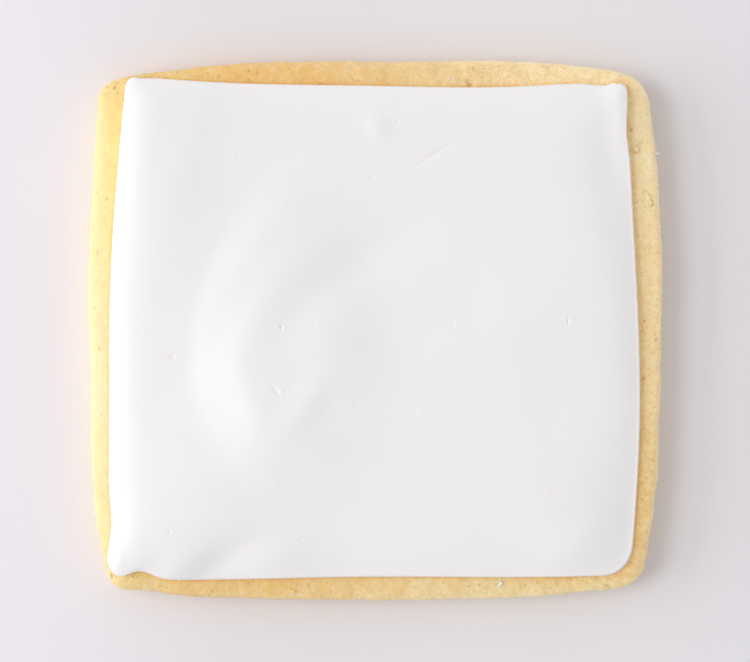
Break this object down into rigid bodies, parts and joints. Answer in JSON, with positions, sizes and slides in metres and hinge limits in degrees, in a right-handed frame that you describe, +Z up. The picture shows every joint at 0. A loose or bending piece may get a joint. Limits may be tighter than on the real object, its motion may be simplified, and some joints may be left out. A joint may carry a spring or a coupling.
{
  "type": "iced sugar cookie",
  "caption": "Square sugar cookie with rounded, slightly bowed edges under a smooth poured coat of white icing that leaves a narrow golden rim.",
  "frame": {"origin": "on the surface below the cookie, under the middle of its outline's box", "axes": "+X along the cookie's longer side, +Y towards its back edge, +Z up out of the icing"},
  "size_m": [0.08, 0.075, 0.0093],
  "materials": {
    "baked_dough": "matte",
    "white_icing": "satin"
  },
  "bodies": {
    "root": {"cookie": "baked_dough", "icing": "white_icing"}
  },
  "joints": []
}
